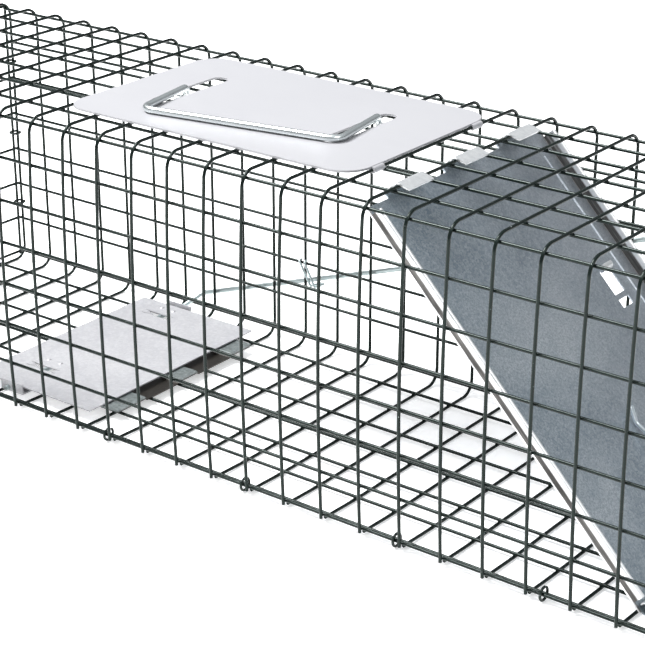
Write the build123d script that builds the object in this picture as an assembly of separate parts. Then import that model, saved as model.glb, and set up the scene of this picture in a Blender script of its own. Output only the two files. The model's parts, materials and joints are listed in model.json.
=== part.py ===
"""Live catch trap: a 24 x 7 x 7 inch cage of one inch welded mesh with one sloping drop door.

Frame: X runs from the closed back end (first hoop wire at X = 0) to the entrance, Y across the
cage (0 in the middle), Z up from the ground. Millimetres.
"""

from build123d import *
from math import asin, cos, degrees, hypot, sin, radians, pi
import os

# ---- mesh -------------------------------------------------------------------------------
PITCH = 25.4  # hoop to hoop along the cage
WIRE = 1.9
CELLS_LONG = 24
CELLS_ROUND = 28
ROW_PITCH = 25.5  # the long wires lie a little further apart than the hoops
HOOP_W = 183.0  # across the cage, hoop centre to hoop centre
HOOP_H = 184.0
BEND = 9.0  # centre-line radius of a hoop's corners
LAY = WIRE + 0.02  # a long wire lies this far inside the hoops
SEAM_Z = 4.6  # lowest long wire of the near side
SIDE_BOW = 2.6  # the near side bulges outward by this much at half height
FLOOR_LIFT = 0.8  # the rings pull the floor's near edge up by this much
WIRE_END = 1.0  # long wires pass the end hoops by this much

# ---- tying rings --------------------------------------------------------------------------
RING_WIRE = 1.5
RING_SLACK = 0.15
RING_GAP = 34.0  # open part of a C ring, degrees

# ---- ends ---------------------------------------------------------------------------------
BACK_CELLS = 7
FRAME_WIRE = 3.2
FRAME_CORNER = 10.0

# ---- guard plate and handle ---------------------------------------------------------------
PLATE_T = 1.2
PLATE_HOOPS = (8, 16)  # the plate spans these two hoops
PLATE_W = 130.0
PLATE_CORNER = 16.0
PLATE_TAB = 9.0
PLATE_TAB_Y = (-44.2, 47.5)
SLOT_W = 10.5
SLOT_Y = (-30.0, 31.5)
HANDLE_WIRE = 4.0
HANDLE_SPAN = 122.6
HANDLE_REACH = 47.5
HANDLE_HOOK = 9.5
HANDLE_SKEW = 9.7  # the handle lies a little askew in its slots
HANDLE_MID = (301.8, 7.6)
PLAY = 0.3

# ---- door -----------------------------------------------------------------------------------
HINGE_HOOP = 17
DOOR_SLOPE = 45.96
SHEET = 0.9
PANEL_DROP = 8.3  # hinge wire centre to the panel's outer face
PANEL_TOP = 1.4
PANEL_END = 238.0
PANEL_HALF = 80.8
FLANGE = 8.0
FLANGE_TOP = 6.0
HEM_GAP = 0.9
HEM_DEPTH = 5.0
TAB_W = 22.0
TAB_CLEAR = 0.55
TAB_FLAP = 7.0
TAB_TURN = 60.5  # how far a tab bends round the wire before its straight flap, degrees
ROLL_R = 3.6
CATCH_Y = (51.0, 61.2)
CATCH_SLOT = (85.4, 101.4)
CATCH_SQUARE = (104.6, 109.6)
BEAD_Y = 70.5
BEAD_R = 1.8
EYE_R = 2.5
DOOR_ROD = 3.0
DOOR_OPENS = 41.0

# ---- door pull ------------------------------------------------------------------------------
PULL_WIRE = 2.4
PULL_NOSE = 163.2
PULL_TIP = (-8.8, 3.3)
PULL_LIFT = 16.0  # angle between the pull and the door
PULL_RUN = 66.0
PULL_EYE = 3.0

# ---- trip pan and trigger rod -----------------------------------------------------------------
SHAFT_X = 160.5
SHAFT_Z = 6.1
ROD = 3.0
ROD_Y = 94.7
ROD_START = (168.0, 13.0)
ROD_SLOPE = 0.3446  # the rod's tip just clears the far side's top row
ROD_END_X = 597.0
ROD_TIP_Y = 84.2
SHAFT_NEAR = -83.0
SHAFT_FAR = 79.0
PAN_X = (133.0, 226.0)
PAN_MID_Y = -3.5
PAN_W = 150.0
PAN_T = 0.8
PAN_LIP = 2.4
GUIDE_WIRE = 1.5
GUIDE_TOP = (252.2, 256.2)
GUIDE_FOOT = (261.2, 264.4)
GUIDE_LOW = 41.2
LOUVRE_Y = (-51.0, 54.0)
LOUVRE_L = 24.0
LOUVRE_W = 5.0
REST_X = (221.5, 236.5)
REST_Y = (-67.0, 57.0)
REST_DIPS = ((-41.4, -11.5), (5.7, 37.3))
REST_RISE = 2.2
REST_T = 0.8
REST_LIP = 1.6

hoop_low = WIRE / 2
hoop_high = hoop_low + HOOP_H
half = HOOP_W / 2
length = CELLS_LONG * PITCH
row_low = hoop_low + LAY
hinge_x = HINGE_HOOP * PITCH


# ---- helpers ----------------------------------------------------------------------------------
def rod(start, end, d):
    """A straight round wire."""
    a, b = Vector(*start), Vector(*end)
    return Solid.make_cylinder(d / 2, (b - a).length, Plane(origin=a, z_dir=b - a))


def bent(points, radii, d):
    """A round wire along straight runs joined by arcs, one radius for each corner."""
    path = FilletPolyline(*points, radius=radii)
    return sweep(Plane(origin=path @ 0, z_dir=path % 0) * Circle(d / 2), path=path)


def arc_wire(centre, x_dir, normal, radius, angle, d):
    """Part of a ring, from x_dir round the normal."""
    plane = Plane(origin=centre, x_dir=x_dir, z_dir=normal)
    return Solid.make_torus(radius, d / 2, plane, major_angle=angle)


def bowed_wire(x, y, z0, z1, bow, d):
    """An upright round wire that bulges towards -Y by bow at half height."""
    chord = z1 - z0
    radius = (chord * chord / 4 + bow * bow) / (2 * bow)
    half_turn = asin(chord / 2 / radius)
    centre = Vector(x, y + radius - bow, (z0 + z1) / 2)
    start = (0, -cos(half_turn), -sin(half_turn))
    return arc_wire(centre, start, (-1, 0, 0), radius, 2 * degrees(half_turn), d)


def box(x, y, z):
    """A box from three (low, high) pairs."""
    size = Box(x[1] - x[0], y[1] - y[0], z[1] - z[0])
    return Pos((x[0] + x[1]) / 2, (y[0] + y[1]) / 2, (z[0] + z[1]) / 2) * size


def strip(points, thickness, y):
    """A bent sheet strip: a path in X and Z given a thickness and run from y[0] to y[1]."""
    line = Polyline(*[(x, z) for x, z in points])
    flat = Plane.XZ * trace(line, line_width=thickness)
    return Pos(0, y[1], 0) * extrude(flat, amount=y[1] - y[0], dir=(0, -1, 0))


def solids_of(*shapes):
    found = []
    for shape in shapes:
        for item in shape if isinstance(shape, list) else [shape]:
            found += list(item.solids())
    return found


def save(name, *shapes):
    export_step(Compound(children=solids_of(*shapes)), f"parts/{name}.step")


# ---- the rolled sheet -----------------------------------------------------------------------
near_foot = SEAM_Z - WIRE / 2 - 0.9
near_head = hoop_high - BEND


def near_bulge(z):
    """How far the near side stands out at this height."""
    u = (z - near_foot) / (near_head - near_foot)
    return 4 * SIDE_BOW * u * (1 - u)


def around(s):
    """Y and Z of a long wire, s along the sheet from its near bottom edge."""
    inner = BEND - LAY
    up = hoop_high - BEND - SEAM_Z
    corner = BEND * pi / 2
    across = HOOP_W - 2 * BEND
    down = HOOP_H - 2 * BEND
    y_in, z_top, z_bottom = half - BEND, hoop_high - BEND, hoop_low + BEND
    if s <= up:
        return -half + LAY - near_bulge(SEAM_Z + s), SEAM_Z + s
    s -= up
    if s <= corner:
        a = s / BEND
        return -y_in - inner * cos(a), z_top + inner * sin(a)
    s -= corner
    if s <= across:
        return -y_in + s, hoop_high - LAY
    s -= across
    if s <= corner:
        a = s / BEND
        return y_in + inner * sin(a), z_top + inner * cos(a)
    s -= corner
    if s <= down:
        return half - LAY, z_top - s
    s -= down
    if s <= corner:
        a = s / BEND
        return y_in + inner * cos(a), z_bottom - inner * sin(a)
    return y_in - (s - corner), row_low


def row(i):
    """Y and Z of long wire i, counted from 0 at the near bottom edge."""
    y, z = around(i * ROW_PITCH)
    return (y, z + FLOOR_LIFT) if i == CELLS_ROUND else (y, z)


def long_wires(first, last):
    made = []
    for i in range(first, last + 1):
        y, z = row(i)
        made.append(rod((-0.9, y, z), (length + WIRE_END, y, z), WIRE))
    return made


def hoop_places():
    return [k * PITCH for k in range(CELLS_LONG + 1)]


def near_side():
    z0, z1 = near_foot, near_head - 0.06
    uprights = [bowed_wire(x, -half, z0, z1, SIDE_BOW, WIRE) for x in hoop_places()]
    return uprights + long_wires(0, 6)


def far_side():
    z0, z1 = hoop_low + BEND, hoop_high - BEND
    uprights = [rod((x, half, z0), (x, half, z1), WIRE) for x in hoop_places()]
    return uprights + long_wires(15, 20)


def top_side():
    y = half - BEND
    hoops = [rod((x, -y, hoop_high), (x, y, hoop_high), WIRE) for x in hoop_places()]
    return hoops + long_wires(8, 13)


def floor_side():
    """Floor hoops under their long wires, kinked up to the seam in the last cell."""
    y_kink, y_end = row(CELLS_ROUND - 1)[0], row(CELLS_ROUND)[0] - 1.2
    y_start = half - BEND - 0.03
    made = []
    for x in hoop_places():
        path = [(x, y_start, hoop_low), (x, y_kink, hoop_low), (x, y_end, hoop_low + FLOOR_LIFT)]
        made.append(bent(path, [60.0], WIRE))
    return made + long_wires(22, 28)


def corner_bends(y, z, x_dir, normal, i):
    """The hoops' corners along one edge, with the long wire that lies in them."""
    arcs = [arc_wire((x, y, z), x_dir, normal, BEND, 90, WIRE) for x in hoop_places()]
    return arcs + long_wires(i, i)


def tie_ring(centre, along, open_to, radius):
    """A C ring closed round two wires that run along one direction."""
    start = Vector(*open_to).rotate(Axis((0, 0, 0), along), RING_GAP / 2)
    return arc_wire(centre, start, along, radius, 360 - RING_GAP, RING_WIRE)


def ring_round(a, b, along, open_to, thick=WIRE):
    """A C ring just large enough for two wires that run through a and b, thick the thicker one."""
    a, b = Vector(*a), Vector(*b)
    radius = (b - a).length / 2 + thick / 2 + RING_WIRE / 2 + RING_SLACK
    return tie_ring((a + b) * 0.5, along, open_to, radius)


def seam_rings():
    """Rings round the near side's lowest wire and the floor's last one; the cage stands on them."""
    (y0, z0), (y1, z1) = row(0), row(CELLS_ROUND)
    radius = hypot(y1 - y0, z1 - z0) / 2 + (WIRE + RING_WIRE) / 2 + 2 * RING_SLACK
    middle = (y0 + y1) / 2, max((z0 + z1) / 2, radius + RING_WIRE / 2)
    places = [k * PITCH - 4.0 for k in (2, 6, 10, 14, 18)] + [21 * PITCH + 8.4]
    places.append(CELLS_LONG * PITCH - 4.0)
    return [tie_ring((x, *middle), (1, 0, 0), (0, 0.6, 1), radius) for x in places]


# ---- back end -------------------------------------------------------------------------------
back_side = BACK_CELLS * PITCH
back_low = hoop_low + (HOOP_H - back_side) / 2
back_x_up = -LAY - 0.03  # its uprights lie against the first hoop, its cross wires behind them
back_x_across = back_x_up - LAY


def back_panel():
    reach = back_side / 2 + WIRE_END
    z0, z1 = back_low - WIRE_END, back_low + back_side + WIRE_END
    uprights = []
    rows = []
    for i in range(BACK_CELLS + 1):
        y = -back_side / 2 + i * PITCH
        z = back_low + i * PITCH
        uprights.append(rod((back_x_up, y, z0), (back_x_up, y, z1), WIRE))
        rows.append(rod((back_x_across, -reach, z), (back_x_across, reach, z), WIRE))
    return uprights + rows


def back_rings():
    made = []
    for cell in (1.5, 3.5, 5.5):
        z = back_low + cell * PITCH
        for s in (-1, 1):
            hoop = (0, s * (half if s > 0 else half + near_bulge(z)), z)
            upright = (back_x_up, s * back_side / 2, z)
            made.append(ring_round(hoop, upright, (0, 0, 1), (0, s, 0)))
    for y in (-2 * PITCH, 0.0, 2 * PITCH):
        top_wire = (back_x_across, y, back_low + back_side)
        made.append(ring_round((0, y, hoop_high), top_wire, (0, 1, 0), (0, 0, 1)))
    return made


# ---- entrance end ---------------------------------------------------------------------------
frame_x = length + WIRE_END + 0.05 + FRAME_WIRE / 2
frame_y = half - 0.5
frame_low = FRAME_WIRE / 2


def front_frame():
    outline = RectangleRounded(2 * frame_y, hoop_high - frame_low, FRAME_CORNER)
    face = Plane(origin=(frame_x, 0, (hoop_high + frame_low) / 2), x_dir=(0, 1, 0), z_dir=(1, 0, 0))
    path = (face * outline).face().outer_wire()
    return sweep(Plane(origin=path @ 0, z_dir=path % 0) * Circle(FRAME_WIRE / 2), path=path)


def front_rings():
    made = []
    for z in (42.0, 94.0, 145.0):
        for s in (-1, 1):
            hoop = (length, s * half if s > 0 else -half - near_bulge(z), z)
            made.append(ring_round(hoop, (frame_x, s * frame_y, z), (0, 0, 1), (0, s, 0), FRAME_WIRE))
    for y in (-50.0, 0.0, 50.0):
        hoop = (length, y, hoop_high)
        made.append(ring_round(hoop, (frame_x, y, hoop_high), (0, 1, 0), (0, 0, 1), FRAME_WIRE))
    return made


# ---- guard plate and carrying handle ------------------------------------------------------------
plate_low = hoop_high + WIRE / 2
plate_high = plate_low + PLATE_T
handle_axis_z = plate_low - HANDLE_WIRE / 2 - PLAY
handle_bar_z = plate_high + HANDLE_WIRE / 2 + PLAY


def handle_frame():
    skew = radians(HANDLE_SKEW)
    return Plane(
        origin=(*HANDLE_MID, handle_axis_z), x_dir=(cos(skew), sin(skew), 0), z_dir=(0, 0, 1)
    )


def plate_tab(hoop_x, side, y):
    """A tab that leaves the plate's edge over a hoop and folds down round it."""
    r = WIRE / 2 + 0.02
    outer = Pos(hoop_x, y, hoop_high) * Rot(90, 0, 0) * Cylinder(r + SHEET, PLATE_TAB)
    bore = Pos(hoop_x, y, hoop_high) * Rot(90, 0, 0) * Cylinder(r, PLATE_TAB + 2)
    span = (hoop_x - 4, hoop_x) if side > 0 else (hoop_x, hoop_x + 4)
    keep_clear = box(span, (y - PLATE_TAB, y + PLATE_TAB), (hoop_high - 4, hoop_high))
    return outer - bore - keep_clear


def handle_plate():
    x0, x1 = PLATE_HOOPS[0] * PITCH, PLATE_HOOPS[1] * PITCH
    sheet = RectangleRounded(x1 - x0 - 0.6, PLATE_W, PLATE_CORNER)
    plate = Pos((x0 + x1) / 2, -0.5, plate_low) * extrude(sheet, amount=PLATE_T)
    for x in slot_places():
        slot = RectangleRounded(SLOT_W, SLOT_Y[1] - SLOT_Y[0], SLOT_W / 2 - 0.1)
        plate -= Pos(x, sum(SLOT_Y) / 2, plate_low - 1) * extrude(slot, amount=PLATE_T + 2)
    for y in PLATE_TAB_Y:
        plate += plate_tab(x1, 1, y) + plate_tab(x0, -1, y)
    return plate


def slot_places():
    reach = HANDLE_SPAN / 2 * cos(radians(HANDLE_SKEW))
    return [HANDLE_MID[0] - reach, HANDLE_MID[0] + reach]


def carry_handle():
    side, rise = HANDLE_SPAN / 2, handle_bar_z - handle_axis_z
    foot = HANDLE_WIRE / 2 + 0.6
    half_path = [
        (-side - HANDLE_HOOK, 0, 0),
        (-side, 0, 0),
        (-side, 0, rise),
        (-side, -HANDLE_REACH, rise),
    ]
    points = half_path + [(-x, y, z) for x, y, z in reversed(half_path)]
    frame = handle_frame()
    placed = [frame.from_local_coords(Vector(*p)) for p in points]
    return bent(placed, [foot, foot, 7.0, 7.0, foot, foot], HANDLE_WIRE)


# ---- door: drawn flat (X down the slope, Z out), then set at its slope on the hinge wire ------------
door_frame = Plane(
    origin=(hinge_x, 0, hoop_high),
    x_dir=(cos(radians(DOOR_SLOPE)), 0, -sin(radians(DOOR_SLOPE))),
    z_dir=(sin(radians(DOOR_SLOPE)), 0, cos(radians(DOOR_SLOPE))),
)
out_face = -PANEL_DROP
in_face = out_face - SHEET
roll_z = in_face + ROLL_R
tab_places = [(row(a)[0] + row(b)[0]) / 2 for a, b in ((8, 9), (10, 11), (12, 13))]


def ring_strip(centre, inner, outer, start, angle, y):
    """A curled strip of sheet: part of a ring in X and Z, run from y[0] to y[1]."""
    path = CenterArc((0, 0), (inner + outer) / 2, start, angle)
    flat = Plane.XZ * trace(path, line_width=outer - inner)
    return Pos(centre[0], y[1], centre[1]) * extrude(flat, amount=y[1] - y[0], dir=(0, -1, 0))


def hinge_tab(y):
    """A tab that rises behind the hinge wire, bends over it and ends in a short flap in front."""
    inner = WIRE / 2 + TAB_CLEAR
    outer = inner + SHEET
    span = (y - TAB_W / 2, y + TAB_W / 2)
    foot = box((-outer, PANEL_TOP + 0.5), span, (in_face, out_face))
    web = box((-outer, -inner), span, (in_face, 0))
    curl = ring_strip((0, 0), inner, outer, 180, -TAB_TURN, span)
    top = radians(180 - TAB_TURN)
    middle = (inner + outer) / 2
    start = (middle * cos(top), middle * sin(top))
    along = (sin(top), -cos(top))
    end = (start[0] + TAB_FLAP * along[0], start[1] + TAB_FLAP * along[1])
    return foot + web + curl + strip([start, end], SHEET, span)


def door_flange(side):
    """A flange folded up from the panel's side and rolled outward and down into a rounded hem."""
    y_out = PANEL_HALF
    top = out_face + FLANGE - HEM_GAP / 2 - SHEET
    hem_in = y_out + HEM_GAP
    hem_out = hem_in + SHEET
    span = (FLANGE_TOP, PANEL_END - 6)
    wall = box(span, (y_out - SHEET, y_out), (in_face, top))
    hem = box(span, (hem_in, hem_out), (top - HEM_DEPTH, top))
    roll = CenterArc(((y_out + hem_in) / 2, top), (HEM_GAP + SHEET) / 2, 0, 180)
    cap = extrude(Plane.YZ * trace(roll, line_width=SHEET), amount=span[1] - span[0])
    flange = wall + hem + Pos(span[0], 0, 0) * cap
    return flange if side > 0 else flange.mirror(Plane.XZ)


def catch_tongue():
    """The tongue lanced from the long slot, curled up into an eye at the slot's upper end."""
    y = (CATCH_Y[0] + 0.8, CATCH_Y[1] - 0.8)
    at = (CATCH_SLOT[0] - 0.2, out_face + EYE_R - SHEET)
    return ring_strip(at, EYE_R - SHEET, EYE_R, -90, 215, y)


def door_panel():
    body = box((PANEL_TOP, PANEL_END), (-PANEL_HALF, PANEL_HALF), (in_face, out_face))
    body += door_flange(1)
    body += door_flange(-1)
    for y in tab_places:
        body += hinge_tab(y)
    inner = ROLL_R - SHEET
    width = (-PANEL_HALF + 1.5, PANEL_HALF - 1.5)
    body += ring_strip((PANEL_END, roll_z), inner, ROLL_R, -90, 290, width)
    for run in (CATCH_SLOT, CATCH_SQUARE):
        body -= box(run, CATCH_Y, (in_face - 2, out_face + 0.01))
    body += catch_tongue()
    bead = Rot(0, 90, 0) * Cylinder(BEAD_R, PANEL_END - 40)
    body += Pos(PANEL_END / 2 - 4, BEAD_Y, out_face - BEAD_R / 2) * bead
    body -= box((PANEL_END - 6, PANEL_END + 6), (-4.5, 4.5), (in_face - 2, 4))
    return door_frame.location * body


def door_rod():
    y = PANEL_HALF - 3
    return door_frame.location * rod((PANEL_END, -y, roll_z), (PANEL_END, y, roll_z), DOOR_ROD)


def door_pull():
    nose = (PULL_NOSE, out_face + PULL_WIRE / 2 + PLAY)
    tip = (nose[0] + PULL_TIP[0], nose[1] + PULL_TIP[1])
    lift = radians(PULL_LIFT)
    knee = (nose[0] + PULL_RUN * cos(lift), nose[1] + PULL_RUN * sin(lift))
    foot = (PANEL_END, roll_z + PULL_EYE)
    points = [(x, 0, z) for x, z in (tip, nose, knee, foot)]
    wire = bent(points, [5.0, 5.0], PULL_WIRE)
    eye = arc_wire((PANEL_END, 0, roll_z), (0, 0, 1), (0, 1, 0), PULL_EYE, 330, PULL_WIRE)
    return door_frame.location * (wire + eye)


# ---- trip pan, trigger rod and their fittings ----------------------------------------------------
pan_low = SHAFT_Z + ROD / 2
pan_high = pan_low + PAN_T
pan_y = (PAN_MID_Y - PAN_W / 2, PAN_MID_Y + PAN_W / 2)


def trigger_rod():
    x0, z0 = ROD_START
    z_end = z0 + (ROD_END_X - x0) * ROD_SLOPE
    points = [
        (SHAFT_X, SHAFT_NEAR, SHAFT_Z),
        (SHAFT_X, SHAFT_FAR, SHAFT_Z),
        (x0 - 2.5, ROD_Y - 1, z0 - 0.6),
        (x0 + 14, ROD_Y, z0 + 14 * ROD_SLOPE),
        (ROD_END_X, ROD_Y, z_end),
        (ROD_END_X, ROD_TIP_Y, z_end),
    ]
    return bent(points, [6.0, 4.0, 12.0, 4.0], ROD)


def louvre(y):
    """A strap pressed down from the pan, under and round the shaft."""
    mid = pan_low + PAN_T / 2
    under = SHAFT_Z - ROD / 2 - PAN_T / 2 - 0.02
    reach = ROD / 2 + 0.9
    points = [
        (SHAFT_X - LOUVRE_L / 2 - 0.5, mid),
        (SHAFT_X - LOUVRE_L / 2 + 2.5, mid),
        (SHAFT_X - reach, under),
        (SHAFT_X + reach, under),
        (SHAFT_X + LOUVRE_L / 2 - 2.5, mid),
        (SHAFT_X + LOUVRE_L / 2 + 0.5, mid),
    ]
    return strip(points, PAN_T, (y - LOUVRE_W / 2 + 0.6, y + LOUVRE_W / 2 - 0.6))


def trip_pan():
    pan = box(PAN_X, pan_y, (pan_low, pan_high))
    pan += box((PAN_X[0], PAN_X[0] + PAN_T), pan_y, (pan_low - PAN_LIP + 0.8, pan_high))
    for y in LOUVRE_Y:
        x = (SHAFT_X - LOUVRE_L / 2, SHAFT_X + LOUVRE_L / 2)
        pan -= box(x, (y - LOUVRE_W / 2, y + LOUVRE_W / 2), (pan_low - 1, pan_high + 1))
        pan += louvre(y)
    return pan


def pan_rivets():
    """Pairs of small rivets beside each louvre."""
    made = []
    for y in LOUVRE_Y:
        for x in (SHAFT_X - 5.5, SHAFT_X + 4.5):
            at = (x, y + 10.5, pan_high)
            head = Solid.make_cone(1.7, 0.9, 0.7, Plane(origin=at, z_dir=(0, 0, 1)))
            made.append(head)
    return made


def pan_rest():
    """The strip that the pan drops on: it dips onto the floor's long wires and rises between them."""
    low = row_low + WIRE / 2 + 0.05 + REST_T / 2
    high = low + REST_RISE
    slope = REST_RISE / 2
    points = [(REST_Y[0], high)]
    for start, end in REST_DIPS:
        points += [(start - slope, high), (start + slope, low), (end - slope, low), (end + slope, high)]
    points.append((REST_Y[1], high))
    profile = Plane.YZ * trace(Polyline(*points), line_width=REST_T)
    rest = Pos(REST_X[0], 0, 0) * extrude(profile, amount=REST_X[1] - REST_X[0])
    edges = [REST_Y[0], *REST_DIPS[0], *REST_DIPS[1], REST_Y[1]]
    for y0, y1 in zip(edges[::2], edges[1::2]):
        lip = (REST_X[1] - REST_T, REST_X[1])
        rest += box(lip, (y0 + slope, y1 - slope), (high - REST_LIP, high))
    return rest


def shaft_bearings():
    """Two floor brackets that carry the ends of the pan's shaft."""
    made = []
    base = row_low + WIRE / 2 + 0.05
    for y0, foot in ((pan_y[0] - 2.2, (pan_y[0] - 2.2, -59.5)), (pan_y[1] + 1.2, (61.0, pan_y[1] + 2.1))):
        plate = box((SHAFT_X - 6, SHAFT_X + 12), (y0, y0 + SHEET), (base, SHAFT_Z + 4.4))
        bore = Pos(SHAFT_X, y0, SHAFT_Z) * Rot(90, 0, 0) * Cylinder(ROD / 2 + PLAY, 6)
        lug = box((SHAFT_X + 3.5, SHAFT_X + 12), foot, (base, base + SHEET))
        made.append(plate + lug - bore)
    return made


def rod_guide():
    """A hairpin hung on one row of the far side: its bend reaches out under the trigger rod."""
    y_in, y_tip, y_out = half - LAY - 2.4, half - LAY + 0.3, ROD_Y + 3.0
    z_hang = row(19)[1] + WIRE / 2 + GUIDE_WIRE / 2 + 0.1
    half_path = [(GUIDE_TOP[0], y_tip, z_hang), (GUIDE_TOP[0], y_in, z_hang),
                 (GUIDE_FOOT[0], y_in, GUIDE_LOW + 1.3), (GUIDE_FOOT[0], y_out, GUIDE_LOW)]
    other = [(GUIDE_TOP[1], y, z) if x == GUIDE_TOP[0] else (GUIDE_FOOT[1], y, z) for x, y, z in half_path]
    return bent(half_path + other[::-1], [1.4] * 6, GUIDE_WIRE)


def main():
    os.makedirs("parts", exist_ok=True)
    y_in, z_top, z_low = half - BEND, hoop_high - BEND, hoop_low + BEND
    save("near_side_mesh", near_side())
    save("far_side_mesh", far_side())
    save("top_mesh", top_side())
    save("floor_mesh", floor_side())
    save("near_top_bends", corner_bends(-y_in, z_top, (0, 0, 1), (1, 0, 0), 7))
    save("far_top_bends", corner_bends(y_in, z_top, (0, 1, 0), (1, 0, 0), 14))
    save("far_floor_bends", corner_bends(y_in, z_low, (0, 0, -1), (1, 0, 0), 21))
    save("seam_rings", seam_rings())
    save("back_panel_mesh", back_panel())
    save("back_panel_rings", back_rings())
    save("front_frame", front_frame())
    save("front_frame_rings", front_rings())
    save("handle_plate", handle_plate())
    save("carry_handle", carry_handle())
    save("door_panel", door_panel())
    save("door_bottom_rod", door_rod())
    save("door_pull", door_pull())
    save("trigger_rod", trigger_rod())
    save("trip_pan", trip_pan())
    save("pan_rivets", pan_rivets())
    save("pan_rest_strip", pan_rest())
    save("pan_shaft_bearings", shaft_bearings())
    save("rod_guide_link", rod_guide())


main()
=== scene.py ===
import json
import math
import random
import bmesh
import bpy
from mathutils import Matrix, Vector


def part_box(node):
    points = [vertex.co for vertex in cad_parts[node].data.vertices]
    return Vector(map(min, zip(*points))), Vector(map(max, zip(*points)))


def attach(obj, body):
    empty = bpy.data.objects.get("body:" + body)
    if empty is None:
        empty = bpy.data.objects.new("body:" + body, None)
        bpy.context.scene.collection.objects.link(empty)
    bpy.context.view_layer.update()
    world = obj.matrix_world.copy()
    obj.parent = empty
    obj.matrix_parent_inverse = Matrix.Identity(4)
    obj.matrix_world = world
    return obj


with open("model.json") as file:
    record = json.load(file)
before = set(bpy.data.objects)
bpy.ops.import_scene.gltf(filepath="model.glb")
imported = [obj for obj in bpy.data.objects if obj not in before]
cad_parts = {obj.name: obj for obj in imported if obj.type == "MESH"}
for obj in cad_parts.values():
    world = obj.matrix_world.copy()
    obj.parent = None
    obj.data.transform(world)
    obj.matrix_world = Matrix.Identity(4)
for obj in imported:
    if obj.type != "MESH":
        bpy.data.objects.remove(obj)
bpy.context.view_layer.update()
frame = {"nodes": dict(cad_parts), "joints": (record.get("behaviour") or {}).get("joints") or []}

scene = bpy.context.scene
nodes = frame["nodes"]
rng = random.Random(24)

MM = 0.001
PITCH = 25.4 * MM
WIRE = 1.9 * MM

# Camera: its place in metres, the directions of the picture's right and down, and a lens in
# millimetres on a sensor of this width.
CAMERA_AT = (0.96000, -0.81369, 0.50139)
CAMERA_RIGHT = (0.794267, 0.607569, -0.000226)
CAMERA_DOWN = (0.237147, -0.310362, -0.920563)
CAMERA_LENS = 108.82
CAMERA_SENSOR = 36.0

# Studio: metres, and linear colours.
FLOOR_REACH = 40.0
FLOOR_DROP = 0.2 * MM
LAMPS_AIM = (0.3, 0.0, 0.09)
SKY_LOW = (0.20, 0.21, 0.22, 1.0)
SKY_HIGH = (0.80, 0.82, 0.85, 1.0)
SKY_HIGH_FROM = 0.9
SKY_STRENGTH = 0.85

# Long wires of the cage in millimetres. The near side's seven are listed from the bottom up by
# their distance from the middle, because that side bows outward. The top, the far side and the
# floor are flat and have six each, the first of them at TOP_Y, FAR_Z and FLOOR_Y.
ROW_PITCH = 25.5
FLAT_ROWS = 6
SEAM_Z = 4.6
BOWED_Y = (89.6, 90.8, 91.7, 92.1, 92.1, 91.5, 90.4)
TOP_Y, ROW_TOP_Z = -64.0, 183.03
FAR_Z, ROW_FAR_Y = 158.1, 89.58
FLOOR_Y, ROW_FLOOR_Z = 66.3, 2.87

# Welds: how many hoops and back grid wires they are on, the back grid's lowest row over its
# lowest point, and half a blob's length, width and height as parts of the wire's thickness.
HOOPS = 25
BACK_WIRES = 8
WELD_INSET = 1.0 * MM
WELD_SPREAD = (0.5, 0.66)
WELD_HEIGHT = 0.42

# Door: its slope in degrees. Heights are square to the panel, outward from the hinge wire. The
# flanges are from the foot to the top of FLANGE_HEIGHT. The other pairs here and for the rest
# strip are where a mark starts to show and where it is complete.
DOOR_SLOPE = 45.96
DOOR_SIDE = 80.0 * MM
FLANGE_Y = (79.5 * MM, 79.8 * MM)
FLANGE_HEIGHT = (-9.4 * MM, 0.0)
TAB_HEIGHT = (-6.4 * MM, -6.0 * MM)
REST_RAISED_Z = (5.0 * MM, 6.2 * MM)

BLACK = (0.0, 0.0, 0.0)
WHITE = (1.0, 1.0, 1.0)
COAT_DARK = (0.002, 0.004, 0.0035)


# ---- camera, floor and light ------------------------------------------------------------------
def make_camera():
    """A long lens from the near side, a little above, past the entrance end."""
    right = Vector(CAMERA_RIGHT)
    down = Vector(CAMERA_DOWN)
    back = -right.cross(down)
    data = bpy.data.cameras.new("camera")
    data.lens = CAMERA_LENS
    data.sensor_width = CAMERA_SENSOR
    data.clip_start = 0.05
    data.clip_end = 60.0
    camera = bpy.data.objects.new("camera", data)
    turn = Matrix((right, -down, back)).transposed().to_4x4()
    camera.matrix_world = Matrix.Translation(CAMERA_AT) @ turn
    scene.collection.objects.link(camera)
    scene.camera = camera


def make_floor():
    """A sheet just under the rings that the cage stands on, too wide for its edge to be seen."""
    far = FLOOR_REACH
    mesh = bpy.data.meshes.new("floor")
    corners = [(-far, -far, 0), (far, -far, 0), (far, far, 0), (-far, far, 0)]
    mesh.from_pydata(corners, [], [(0, 1, 2, 3)])
    floor = bpy.data.objects.new("floor", mesh)
    floor.location.z = -FLOOR_DROP
    scene.collection.objects.link(floor)
    floor.data.materials.append(floor_material())


def area_light(name, at, size, power):
    data = bpy.data.lights.new(name, "AREA")
    data.shape = "RECTANGLE"
    data.size, data.size_y = size
    data.energy = power
    lamp = bpy.data.objects.new(name, data)
    lamp.location = at
    lamp.rotation_mode = "QUATERNION"
    lamp.rotation_quaternion = (Vector(LAMPS_AIM) - Vector(at)).to_track_quat("-Z", "Y")
    scene.collection.objects.link(lamp)


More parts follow.
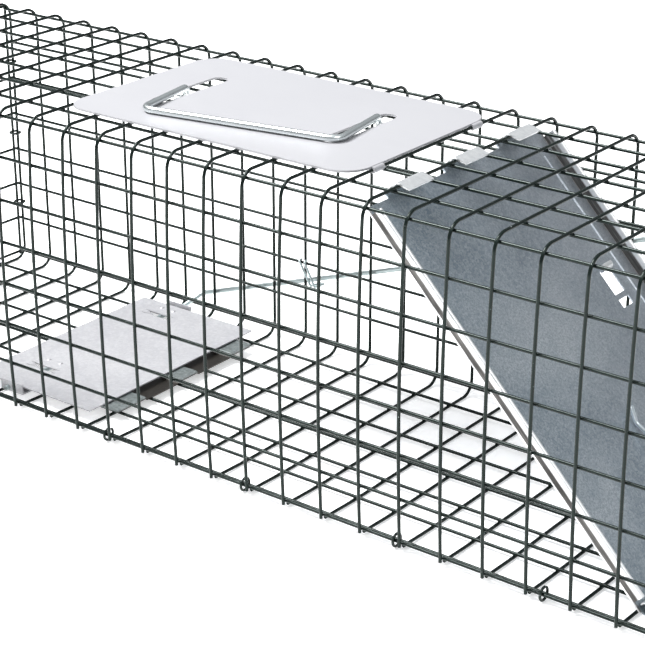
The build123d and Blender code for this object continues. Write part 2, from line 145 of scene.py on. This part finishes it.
def make_sky():
    """A pale sky that is darker towards the horizon."""
    world = bpy.data.worlds.new("studio")
    world.use_nodes = True
    tree = world.node_tree
    place = tree.nodes.new("ShaderNodeTexCoord").outputs["Generated"]
    split = tree.nodes.new("ShaderNodeSeparateXYZ")
    fade = tree.nodes.new("ShaderNodeValToRGB")
    low, high = fade.color_ramp.elements
    low.color = SKY_LOW
    high.position = SKY_HIGH_FROM
    high.color = SKY_HIGH
    background = tree.nodes["Background"]
    background.inputs["Strength"].default_value = SKY_STRENGTH
    tree.links.new(place, split.inputs["Vector"])
    tree.links.new(split.outputs["Z"], fade.inputs["Fac"])
    tree.links.new(fade.outputs["Color"], background.inputs["Color"])
    scene.world = world


def make_lights():
    """A strong lamp high beyond the closed end, a weaker one past the entrance, and the sky."""
    area_light("key_light", at=(-0.9, -0.55, 2.4), size=(1.3, 1.2), power=165.0)
    area_light("front_light", at=(2.3, -0.6, 1.9), size=(1.2, 1.2), power=22.0)
    make_sky()
    scene.view_settings.view_transform = "Standard"


# ---- material building blocks -------------------------------------------------------------------
class Shader:
    """A principled material with helpers that add texture nodes in object space."""

    def __init__(self, name):
        self.material = bpy.data.materials.new(name)
        self.material.use_nodes = True
        self.tree = self.material.node_tree
        self.surface = self.tree.nodes["Principled BSDF"]
        self.place = self.tree.nodes.new("ShaderNodeTexCoord").outputs["Object"]

    def node(self, kind, **values):
        made = self.tree.nodes.new(kind)
        for key, value in values.items():
            setattr(made, key, value)
        return made

    def link(self, a, b):
        self.tree.links.new(a, b)

    def feed(self, socket, value):
        """Gives an input another node's output, a colour or a number."""
        if isinstance(value, bpy.types.NodeSocket):
            self.link(value, socket)
        elif isinstance(value, tuple):
            socket.default_value = (*value, 1.0)
        else:
            socket.default_value = value

    def set(self, **values):
        """Sets inputs of the surface; an underscore stands for a space in an input's name."""
        for key, value in values.items():
            self.surface.inputs[key.replace("_", " ")].default_value = value

    def colour(self, value):
        self.link(value, self.surface.inputs["Base Color"])

    def roughness(self, value):
        self.link(value, self.surface.inputs["Roughness"])

    def axis(self, name):
        """The point's X, Y or Z in metres."""
        split = self.node("ShaderNodeSeparateXYZ")
        self.link(self.place, split.inputs["Vector"])
        return split.outputs[name]

    def along(self, direction):
        """How far the point lies along a direction, in metres."""
        made = self.node("ShaderNodeVectorMath", operation="DOT_PRODUCT")
        made.inputs[1].default_value = direction
        self.link(self.place, made.inputs[0])
        return made.outputs["Value"]

    def stretched(self, scale):
        """Object space scaled along each axis."""
        mapping = self.node("ShaderNodeMapping")
        mapping.inputs["Scale"].default_value = scale
        self.link(self.place, mapping.inputs["Vector"])
        return mapping.outputs["Vector"]

    def along_door(self, stretch):
        """Object space turned to the door's slope and drawn out along it."""
        mapping = self.node("ShaderNodeMapping", vector_type="TEXTURE")
        mapping.inputs["Rotation"].default_value = (0.0, math.radians(DOOR_SLOPE), 0.0)
        mapping.inputs["Scale"].default_value = (stretch, 1.0, 1.0)
        self.link(self.place, mapping.inputs["Vector"])
        return mapping.outputs["Vector"]

    def noise(self, scale, detail=4.0, roughness=0.55, place=None):
        made = self.node("ShaderNodeTexNoise")
        made.inputs["Scale"].default_value = scale
        made.inputs["Detail"].default_value = detail
        made.inputs["Roughness"].default_value = roughness
        self.link(place or self.place, made.inputs["Vector"])
        return made.outputs["Fac"]

    def cells(self, scale):
        """One random value for each Voronoi cell."""
        made = self.node("ShaderNodeTexVoronoi")
        made.inputs["Scale"].default_value = scale
        self.link(self.place, made.inputs["Vector"])
        split = self.node("ShaderNodeSeparateColor")
        self.link(made.outputs["Color"], split.inputs["Color"])
        return split.outputs["Red"]

    def ramp(self, value, stops):
        made = self.node("ShaderNodeValToRGB")
        bar = made.color_ramp
        while len(bar.elements) < len(stops):
            bar.elements.new(0.5)
        for element, (position, colour) in zip(bar.elements, stops):
            element.position = position
            element.color = (*colour, 1.0)
        self.link(value, made.inputs["Fac"])
        return made.outputs["Color"]

    def map_range(self, value, **limits):
        """Maps one range to another; either is 0 to 1 where it isn't given."""
        made = self.node("ShaderNodeMapRange")
        for key, limit in limits.items():
            made.inputs[key.replace("_", " ")].default_value = limit
        self.link(value, made.inputs["Value"])
        return made.outputs["Result"]

    def span(self, value, low, high):
        """Maps 0..1 to low..high."""
        return self.map_range(value, To_Min=low, To_Max=high)

    def band(self, value, low, high):
        """0 below low, 1 above high."""
        return self.map_range(value, From_Min=low, From_Max=high)

    def mix(self, factor, a, b):
        """a where the factor is 0, b where it is 1."""
        made = self.node("ShaderNodeMix", data_type="RGBA")
        self.feed(made.inputs[0], factor)
        self.feed(made.inputs[6], a)
        self.feed(made.inputs[7], b)
        return made.outputs[2]

    def maths(self, operation, *values):
        made = self.node("ShaderNodeMath", operation=operation)
        for socket, value in zip(made.inputs, values):
            self.feed(socket, value)
        return made.outputs[0]

    def bump(self, height, depth, strength, after=None):
        """Adds relief, on top of another bump's where that is given."""
        made = self.node("ShaderNodeBump")
        made.inputs["Distance"].default_value = depth
        made.inputs["Strength"].default_value = strength
        self.link(height, made.inputs["Height"])
        if after is not None:
            self.link(after, made.inputs["Normal"])
        self.link(made.outputs["Normal"], self.surface.inputs["Normal"])
        return made.outputs["Normal"]


# ---- materials -----------------------------------------------------------------------------------
def floor_material():
    """White paper that glows a little, so that it stays white away from the lamps."""
    s = Shader("floor_paper")
    s.set(Base_Color=(0.93, 0.93, 0.93, 1.0), Roughness=0.9, Specular_IOR_Level=0.1)
    s.set(Emission_Color=(1.0, 1.0, 1.0, 1.0), Emission_Strength=0.5)
    return s.material


def coated_wire(name, dark, light, speck_level=0.74):
    """A thin dark coat over zinc: slightly lumpy, and rubbed through to the metal in specks."""
    s = Shader(name)
    coat = s.mix(s.noise(90.0, detail=3.0), dark, light)
    specks = s.band(s.noise(650.0, detail=2.0), speck_level, speck_level + 0.04)
    s.colour(s.mix(specks, coat, (0.24, 0.27, 0.26)))
    s.roughness(s.span(s.noise(240.0, detail=3.0), 0.1, 0.2))
    s.set(Specular_IOR_Level=0.22, Specular_Tint=(0.86, 1.0, 0.95, 1.0))
    s.bump(s.noise(420.0, detail=3.0), depth=0.07 * MM, strength=0.5)
    return s.material


def zinc_wire(name, low, high, rough=(0.2, 0.38)):
    """Drawn wire with zinc on it: fine grain and dull patches."""
    s = Shader(name)
    patch = s.noise(60.0, detail=5.0, roughness=0.65)
    fine = s.noise(1400.0, detail=2.0)
    s.colour(s.mix(fine, s.mix(patch, low, high), high))
    s.roughness(s.span(s.noise(130.0), *rough))
    s.set(Metallic=1.0)
    s.bump(fine, depth=0.04 * MM, strength=0.5)
    return s.material


def spangled_sheet(name, tones, grain, rough, metallic, marks=None):
    """Galvanised sheet: fine crystal grain, cloudy patches and light scratches."""
    s = Shader(name)
    dark, middle, light = tones
    cells = s.cells(grain)
    cloud = s.noise(17.0, detail=5.0, roughness=0.62)
    fine = s.noise(grain * 1.3, roughness=0.7)
    base = s.ramp(cloud, [(0.30, dark), (0.5, middle), (0.72, light)])
    base = s.mix(s.span(cells, 0.0, 0.6), base, light)
    base = s.mix(s.span(s.band(fine, 0.40, 0.62), 0.0, 0.65), base, dark)
    drawn_out = s.stretched((1.0, 34.0, 5.0))
    scratches = s.band(s.noise(30.0, detail=2.0, roughness=0.5, place=drawn_out), 0.72, 0.73)
    faint = s.span(cloud, 0.0, 0.35)
    base = s.mix(s.maths("MULTIPLY", scratches, faint), base, (0.9, 0.92, 0.93))
    if marks:
        base = marks(s, base)
    s.colour(base)
    s.roughness(s.span(s.noise(grain * 0.6, roughness=0.6), *rough))
    s.set(Metallic=metallic)
    waves = s.bump(s.noise(12.0, detail=2.0), depth=0.8 * MM, strength=0.4)
    s.bump(cells, depth=0.05 * MM, strength=0.6, after=waves)
    return s.material


def door_marks(s, base):
    """The flanges' feet and rolled hems get a painted highlight, the folds between them painted shade
    with streaks, and the tabs a light mottle that is partly painted highlight.
    """
    slope = math.radians(DOOR_SLOPE)
    outward = Vector((math.sin(slope), 0.0, math.cos(slope)))
    hinge = next(joint for joint in frame["joints"] if joint["name"] == "door_hinge")
    height = s.maths("SUBTRACT", s.along(outward), Vector(hinge["pos_m"]).dot(outward))
    y = s.axis("Y")
    on_flange = s.band(s.maths("ABSOLUTE", y), *FLANGE_Y)
    on_tab = s.band(height, *TAB_HEIGHT)
    # Mask of the flange: its foot and rolled hem are painted as highlight, the fold between them as
    # shade.
    in_fold = s.ramp(s.band(height, *FLANGE_HEIGHT),
                     [(0.0, BLACK), (0.08, BLACK), (0.14, WHITE), (0.56, WHITE), (0.66, BLACK)])
    streak = s.noise(260.0, roughness=0.7, place=s.along_door(18.0))
    # The fold's painted shade, streaked along the door.
    fold_shade = s.ramp(streak, [(0.40, (0.055, 0.052, 0.050)), (0.56, (0.13, 0.125, 0.12)),
                           (0.74, (0.45, 0.45, 0.44))])
    flange = s.mix(in_fold, (0.86, 0.87, 0.88), fold_shade)
    # The tabs are light grey with a mottle, made lighter as a painted highlight on their curled tops.
    tab_mottle_and_highlight = s.mix(s.noise(300.0, roughness=0.7), (0.52, 0.54, 0.55), (0.92, 0.93, 0.93))
    far_grey = s.span(s.band(y, -DOOR_SIDE, DOOR_SIDE), 0.0, 0.35)
    base = s.mix(far_grey, base, (0.40, 0.39, 0.41))
    return s.mix(on_flange, s.mix(on_tab, base, tab_mottle_and_highlight), flange)


def rest_marks(s, base):
    """The strip's low runs under the pan's edge are painted near black, as shade with some grime; its
    raised ones keep the sheet's own colour.
    """
    raised = s.band(s.axis("Z"), *REST_RAISED_Z)
    # Painted shade, with some grime, on the low runs below REST_RAISED_Z.
    return s.mix(raised, (0.025, 0.022, 0.018), base)


def plate_material():
    """Pale rolled sheet: nearly even, with a fine grain along it."""
    s = Shader("plate_sheet")
    grain = s.noise(260.0, detail=3.0, roughness=0.5, place=s.stretched((0.25, 3.0, 1.0)))
    cloud = s.noise(9.0, detail=3.0)
    tone = s.mix(cloud, (0.325, 0.325, 0.342), (0.355, 0.355, 0.37))
    s.colour(s.mix(s.span(grain, 0.0, 0.35), tone, (0.39, 0.39, 0.40)))
    s.roughness(s.span(grain, 0.38, 0.52))
    s.set(Metallic=0.12)
    s.bump(grain, depth=0.03 * MM, strength=0.4)
    return s.material


def dress(material, *names):
    """Gives CAD nodes one material."""
    for name in names:
        data = nodes[name].data
        data.materials.clear()
        data.materials.append(material)


def dress_coated_wires(mesh_coat):
    dress(mesh_coat, "near_side_mesh", "far_side_mesh", "top_mesh", "floor_mesh", "near_top_bends",
          "far_top_bends", "far_floor_bends", "back_panel_mesh")
    dress(coated_wire("frame_coat", COAT_DARK, (0.009, 0.014, 0.012), 0.72), "front_frame")
    dress(coated_wire("ring_coat", (0.005, 0.008, 0.007), (0.018, 0.024, 0.022), 0.66),
          "seam_rings", "back_panel_rings", "front_frame_rings")


def dress_bare_wires():
    dress(zinc_wire("handle_zinc", (0.46, 0.51, 0.51), (0.74, 0.78, 0.78)), "carry_handle")
    dress(zinc_wire("pull_zinc", (0.42, 0.48, 0.52), (0.70, 0.76, 0.80)), "door_pull")
    dress(zinc_wire("rod_zinc", (0.36, 0.43, 0.43), (0.58, 0.66, 0.66), rough=(0.34, 0.5)),
          "trigger_rod", "door_bottom_rod", "rod_guide_link")


def dress_sheets():
    dress(plate_material(), "handle_plate")
    door_tones = [(0.18, 0.235, 0.28), (0.34, 0.40, 0.45), (0.62, 0.67, 0.70)]
    door = spangled_sheet("door_spangle", door_tones, grain=800.0, rough=(0.28, 0.46), metallic=0.8,
                          marks=door_marks)
    dress(door, "door_panel")
    pan_tones = [(0.38, 0.38, 0.40), (0.44, 0.44, 0.46), (0.54, 0.54, 0.55)]
    pan = spangled_sheet("pan_spangle", pan_tones, grain=420.0, rough=(0.36, 0.5), metallic=0.25)
    dress(pan, "trip_pan", "pan_shaft_bearings", "pan_rivets")
    rest_tones = [(0.10, 0.11, 0.11), (0.20, 0.23, 0.23), (0.34, 0.38, 0.38)]
    rest = spangled_sheet("rest_strip_sheet", rest_tones, grain=420.0, rough=(0.34, 0.5),
                          metallic=0.5, marks=rest_marks)
    dress(rest, "pan_rest_strip")


# ---- welds ---------------------------------------------------------------------------------------
def weld_nugget(mesh, at, normal, along):
    """A small squashed blob of weld metal where two wires cross."""
    side = normal.cross(along)
    turn = Matrix((along, side, normal)).transposed().to_4x4()
    long, wide = rng.uniform(*WELD_SPREAD), rng.uniform(*WELD_SPREAD)
    squash = Matrix.Diagonal((WIRE * long, WIRE * wide, WIRE * WELD_HEIGHT, 1.0))
    bmesh.ops.create_icosphere(mesh, subdivisions=1, radius=1.0,
                               matrix=Matrix.Translation(at) @ turn @ squash)


def sheet_rows():
    """Y, Z and outward normal of the long wires that lie on the cage's four sides."""
    near, far = Vector((0, -1, 0)), Vector((0, 1, 0))
    up, down = Vector((0, 0, 1)), Vector((0, 0, -1))
    steps = [i * ROW_PITCH for i in range(FLAT_ROWS)]
    rows = [(-y, SEAM_Z + i * ROW_PITCH, near) for i, y in enumerate(BOWED_Y)]
    rows += [(TOP_Y + step, ROW_TOP_Z, up) for step in steps]
    rows += [(ROW_FAR_Y, FAR_Z - step, far) for step in steps]
    rows += [(FLOOR_Y - step, ROW_FLOOR_Z, down) for step in steps]
    return [(y * MM, z * MM, normal) for y, z, normal in rows]


def weld_sheet(mesh):
    """Blobs outside every crossing of the rolled sheet's hoops and long wires."""
    rows = sheet_rows()
    for k in range(HOOPS):
        for y, z, normal in rows:
            at = Vector((k * PITCH, y, z)) + normal * (WIRE / 2)
            weld_nugget(mesh, at, normal, along=Vector((1, 0, 0)))


def weld_back(mesh):
    """Blobs at every crossing of the closed end's grid."""
    lo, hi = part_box("back_panel_mesh")
    x_grid = (lo.x + hi.x) / 2
    middle = (BACK_WIRES - 1) / 2
    for i in range(BACK_WIRES):
        for j in range(BACK_WIRES):
            at = Vector((x_grid, (i - middle) * PITCH, lo.z + WELD_INSET + j * PITCH))
            weld_nugget(mesh, at, normal=Vector((-1, 0, 0)), along=Vector((0, 1, 0)))


def make_welds(coat):
    made = bmesh.new()
    weld_sheet(made)
    weld_back(made)
    data = bpy.data.meshes.new("weld_nuggets")
    made.to_mesh(data)
    made.free()
    data.shade_smooth()
    data.materials.append(coat)
    welds = bpy.data.objects.new("weld_nuggets", data)
    scene.collection.objects.link(welds)
    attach(welds, "cage")


make_camera()
make_floor()
make_lights()
mesh_coat = coated_wire("mesh_coat", COAT_DARK, (0.008, 0.014, 0.012))
dress_coated_wires(mesh_coat)
dress_bare_wires()
dress_sheets()
make_welds(mesh_coat)

bpy.context.view_layer.update()
